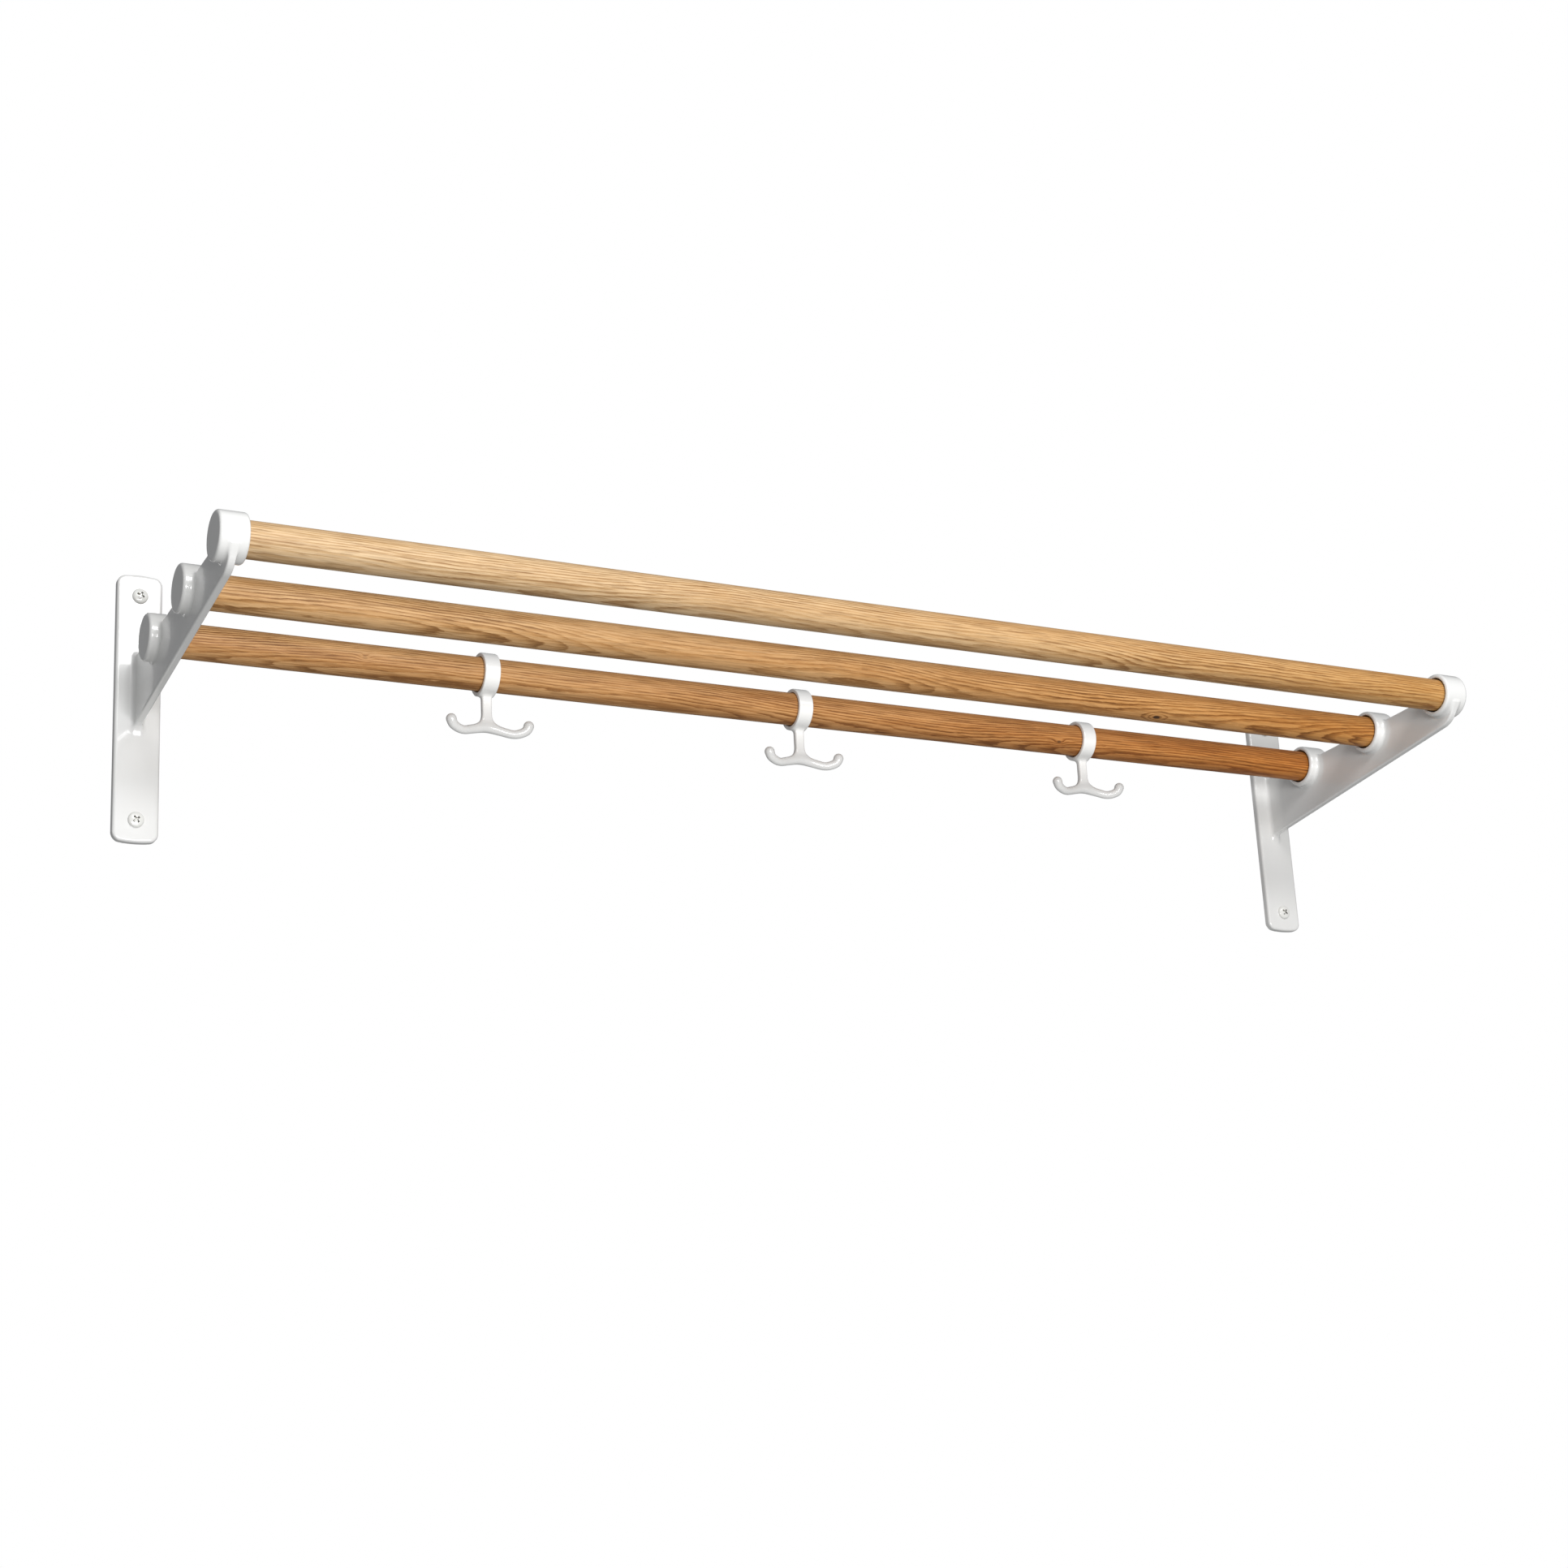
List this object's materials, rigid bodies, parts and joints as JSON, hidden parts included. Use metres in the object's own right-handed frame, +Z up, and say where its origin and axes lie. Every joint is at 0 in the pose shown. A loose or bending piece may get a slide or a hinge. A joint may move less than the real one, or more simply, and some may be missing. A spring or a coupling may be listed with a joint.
{
  "type": "hat and coat rack",
  "caption": "Wall-mounted hat and coat rack: round oak rods carried between white cast brackets, with two-pronged coat hooks that slide along the rear rod.",
  "frame": {"origin": "on the wall plane, at the middle of the four wall screws", "axes": "+X along the rods, +Y into the wall, +Z up; the rack reaches out along -Y"},
  "size_m": [1.012, 0.2689, 0.196],
  "materials": {
    "bracket_paint": "gloss white powder coat over a smooth casting",
    "hook_paint": "gloss white powder coat over a smooth casting",
    "screw_paint": "white enamelled screw head",
    "oak": "clear satin lacquer on straight-grained oak"
  },
  "bodies": {
    "rack": {"bracket_left": "bracket_paint", "bracket_right": "bracket_paint", "front_rod": "oak", "middle_rod": "oak", "rear_rod": "oak", "wall_screw_left_upper": "screw_paint", "wall_screw_left_lower": "screw_paint", "wall_screw_right_upper": "screw_paint", "wall_screw_right_lower": "screw_paint"},
    "hook_left": {"hook_left": "hook_paint"},
    "hook_centre": {"hook_centre": "hook_paint"},
    "hook_right": {"hook_right": "hook_paint"}
  },
  "joints": [
    {"name": "hook_left_slide", "type": "slide", "parent": "rack", "child": "hook_left", "axis": [1, 0, 0], "range_m": [-0.199, 0.0925]},
    {"name": "hook_centre_slide", "type": "slide", "parent": "rack", "child": "hook_centre", "axis": [1, 0, 0], "range_m": [-0.0925, 0.0945]},
    {"name": "hook_right_slide", "type": "slide", "parent": "rack", "child": "hook_right", "axis": [1, 0, 0], "range_m": [-0.0945, 0.193]}
  ]
}
